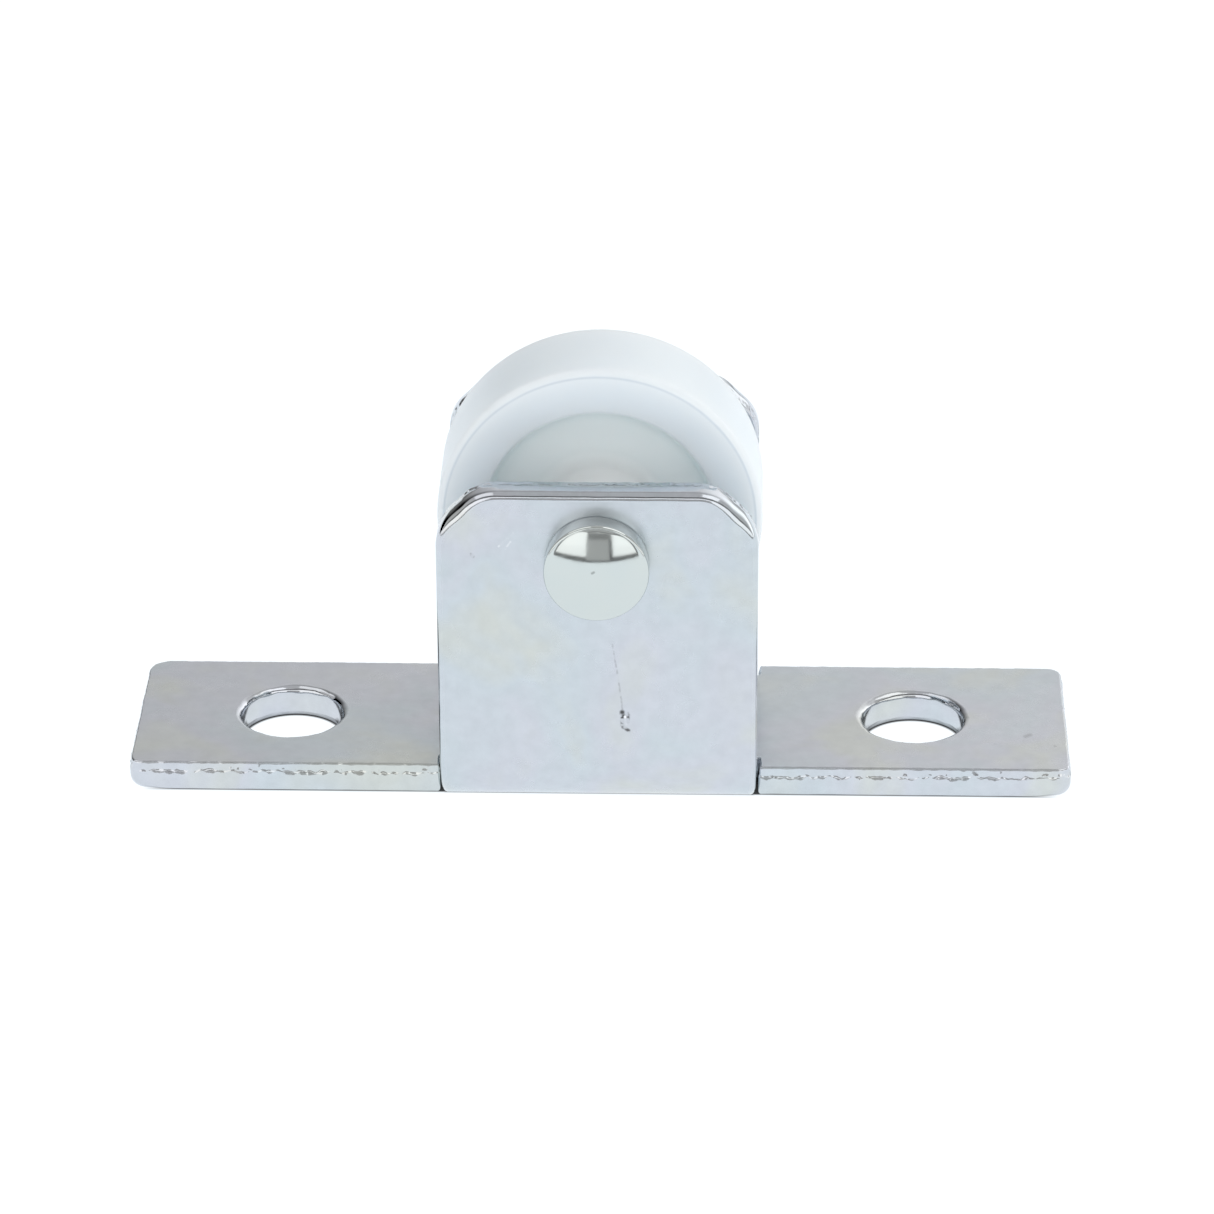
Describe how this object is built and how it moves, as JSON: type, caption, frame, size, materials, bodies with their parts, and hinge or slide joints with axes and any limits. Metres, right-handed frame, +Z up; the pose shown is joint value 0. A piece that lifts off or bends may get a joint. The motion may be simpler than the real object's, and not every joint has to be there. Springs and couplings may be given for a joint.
{
  "type": "sliding door roller",
  "caption": "Sliding door roller: plated steel base plate with screw holes, upright ears and a nylon wheel turning on a riveted axle.",
  "frame": {"origin": "middle of the flat underside of the base plate", "axes": "+X along the base plate, +Y along the axle from the rivet's round head towards its formed tail, +Z up from the plate towards the wheel"},
  "size_m": [0.0732, 0.0273, 0.034],
  "materials": {
    "zinc_plate": "bright clear-passivated zinc plate over cold-rolled steel",
    "rivet_zinc": "polished zinc plate",
    "plain_steel": "drawn steel tube, satin",
    "nylon": "natural translucent white nylon, satin"
  },
  "bodies": {
    "frame": {"bracket": "zinc_plate", "axle_rivet": "rivet_zinc", "axle_sleeve": "plain_steel"},
    "wheel": {"wheel": "nylon"}
  },
  "joints": [
    {"name": "wheel_spin", "type": "hinge", "parent": "frame", "child": "wheel", "pos_m": [0, 0.0003, 0.0215], "axis": [0, 1, 0], "continuous": true}
  ]
}
